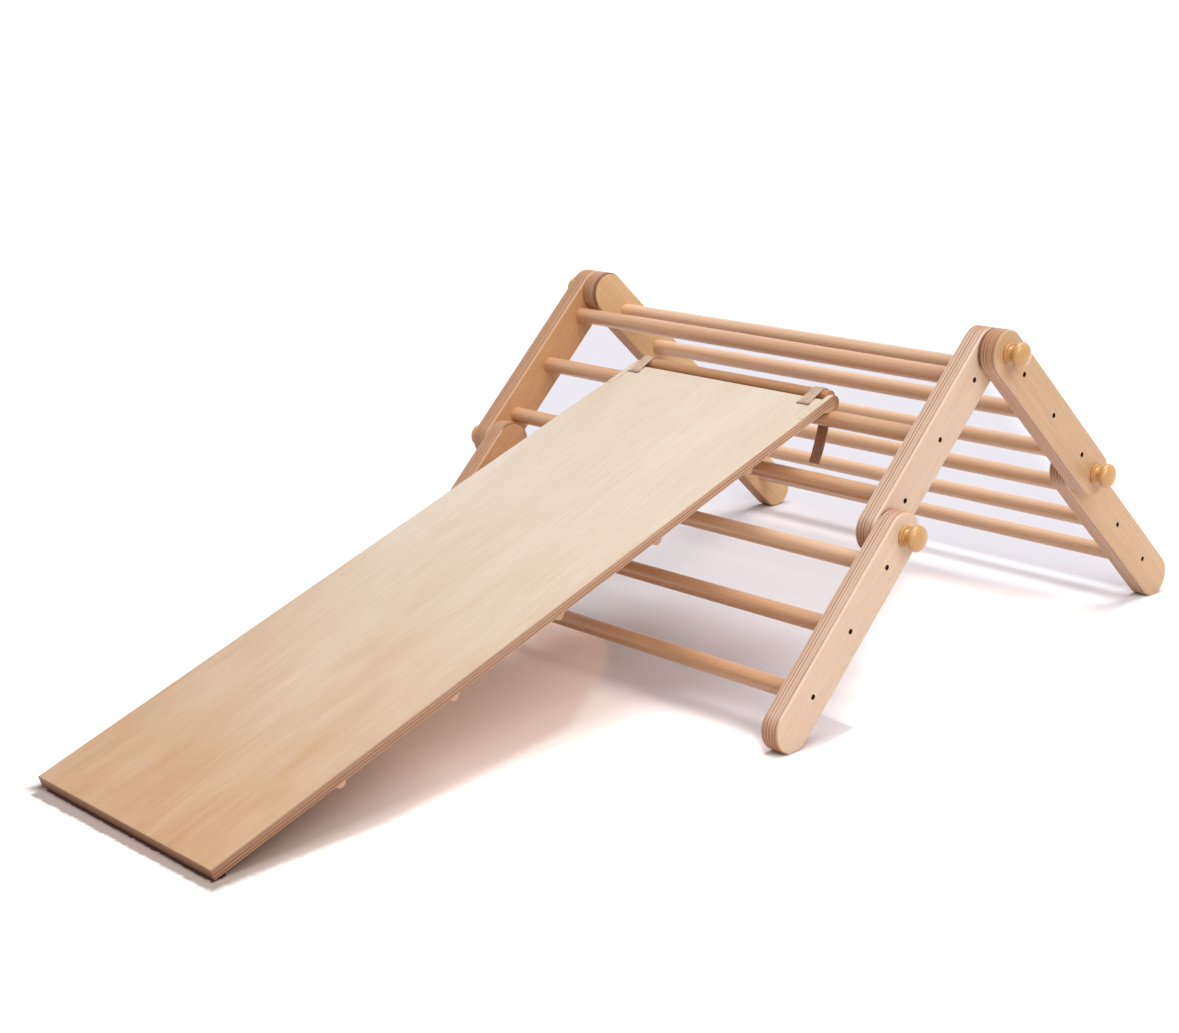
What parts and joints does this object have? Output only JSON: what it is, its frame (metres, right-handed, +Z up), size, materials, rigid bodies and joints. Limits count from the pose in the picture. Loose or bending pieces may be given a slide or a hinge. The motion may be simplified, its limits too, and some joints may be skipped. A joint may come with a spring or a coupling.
{
  "type": "climbing triangle",
  "caption": "Low folding climbing triangle of plywood rails and round rungs, with knob-clamped joints and a slide board hooked on one rung.",
  "frame": {"origin": "on the floor under the middle of the whole object's box", "axes": "+X along the rungs towards the near side of the picture, -Y towards the foot of the slide board, +Z up"},
  "size_m": [0.934, 1.6845, 0.4992],
  "materials": {
    "birch_plywood": "satin varnish, plies open on the edges",
    "beech": "satin varnish, turned",
    "varnished_beech": "gloss varnish, turned",
    "bar_beech": "satin oil, turned",
    "board_plywood": "satin varnish",
    "webbing": "woven, matt",
    "black_steel": "black oxide",
    "zinc_steel": "zinc plated"
  },
  "bodies": {
    "front_upper": {"front_upper_rail_near": "birch_plywood", "front_upper_rail_far": "birch_plywood", "front_upper_rung_1": "beech", "front_upper_rung_2": "beech", "front_upper_rung_3": "beech", "apex_insert_near": "zinc_steel", "front_insert_near": "zinc_steel"},
    "rear_upper": {"rear_upper_rail_near": "birch_plywood", "rear_upper_rail_far": "birch_plywood", "rear_upper_rung_1": "beech", "rear_upper_rung_2": "beech", "rear_upper_rung_3": "beech", "apex_insert_far": "zinc_steel", "rear_insert_far": "zinc_steel"},
    "front_lower": {"front_lower_rail_near": "birch_plywood", "front_lower_rail_far": "birch_plywood", "front_lower_rung_1": "beech", "front_lower_rung_2": "beech", "front_lower_rung_3": "beech", "front_insert_far": "zinc_steel"},
    "rear_lower": {"rear_lower_rail_near": "birch_plywood", "rear_lower_rail_far": "birch_plywood", "rear_lower_rung_1": "beech", "rear_lower_rung_2": "beech", "rear_lower_rung_3": "beech", "rear_insert_near": "zinc_steel"},
    "board": {"board_panel": "board_plywood", "board_hook_near": "birch_plywood", "board_hook_far": "birch_plywood", "board_bar": "bar_beech", "board_strap_near": "webbing", "board_strap_far": "webbing", "board_strap_screw_near": "black_steel", "board_strap_screw_far": "black_steel", "board_batten_1": "beech", "board_batten_2": "beech", "board_batten_3": "beech", "board_batten_4": "beech", "board_batten_5": "beech"},
    "apex_knob_near": {"apex_knob_near": "varnished_beech", "apex_bolt_near": "zinc_steel"},
    "apex_knob_far": {"apex_knob_far": "varnished_beech", "apex_bolt_far": "zinc_steel"},
    "front_knob_near": {"front_knob_near": "varnished_beech", "front_bolt_near": "zinc_steel"},
    "front_knob_far": {"front_knob_far": "varnished_beech", "front_bolt_far": "zinc_steel"},
    "rear_knob_near": {"rear_knob_near": "varnished_beech", "rear_bolt_near": "zinc_steel"},
    "rear_knob_far": {"rear_knob_far": "varnished_beech", "rear_bolt_far": "zinc_steel"}
  },
  "joints": [
    {"name": "apex_hinge", "type": "hinge", "parent": "front_upper", "child": "rear_upper", "pos_m": [0, 0.36131, 0.46625], "axis": [1, 0, 0], "range_deg": [-20, 88]},
    {"name": "front_leg_hinge", "type": "hinge", "parent": "front_upper", "child": "front_lower", "pos_m": [0, 0.13725, 0.24912], "axis": [-1, 0, 0], "range_deg": [-108, 35]},
    {"name": "rear_leg_hinge", "type": "hinge", "parent": "rear_upper", "child": "rear_lower", "pos_m": [0, 0.58536, 0.24912], "axis": [-1, 0, 0], "range_deg": [-108, 108]},
    {"name": "board_hinge", "type": "hinge", "parent": "front_upper", "child": "board", "pos_m": [0, 0.24928, 0.35769], "axis": [-1, 0, 0], "range_deg": [0, 60]},
    {"name": "apex_knob_near_turn", "type": "hinge", "parent": "front_upper", "child": "apex_knob_near", "pos_m": [0.4365, 0.36131, 0.46625], "axis": [1, 0, 0], "range_deg": [0, 360]},
    {"name": "apex_knob_far_turn", "type": "hinge", "parent": "rear_upper", "child": "apex_knob_far", "pos_m": [-0.4365, 0.36131, 0.46625], "axis": [-1, 0, 0], "range_deg": [0, 360]},
    {"name": "front_knob_near_turn", "type": "hinge", "parent": "front_upper", "child": "front_knob_near", "pos_m": [0.4365, 0.13725, 0.24912], "axis": [1, 0, 0], "range_deg": [0, 360]},
    {"name": "front_knob_far_turn", "type": "hinge", "parent": "front_lower", "child": "front_knob_far", "pos_m": [-0.4365, 0.13725, 0.24912], "axis": [-1, 0, 0], "range_deg": [0, 360]},
    {"name": "rear_knob_near_turn", "type": "hinge", "parent": "rear_lower", "child": "rear_knob_near", "pos_m": [0.4365, 0.58536, 0.24912], "axis": [1, 0, 0], "range_deg": [0, 360]},
    {"name": "rear_knob_far_turn", "type": "hinge", "parent": "rear_upper", "child": "rear_knob_far", "pos_m": [-0.4365, 0.58536, 0.24912], "axis": [-1, 0, 0], "range_deg": [0, 360]}
  ]
}
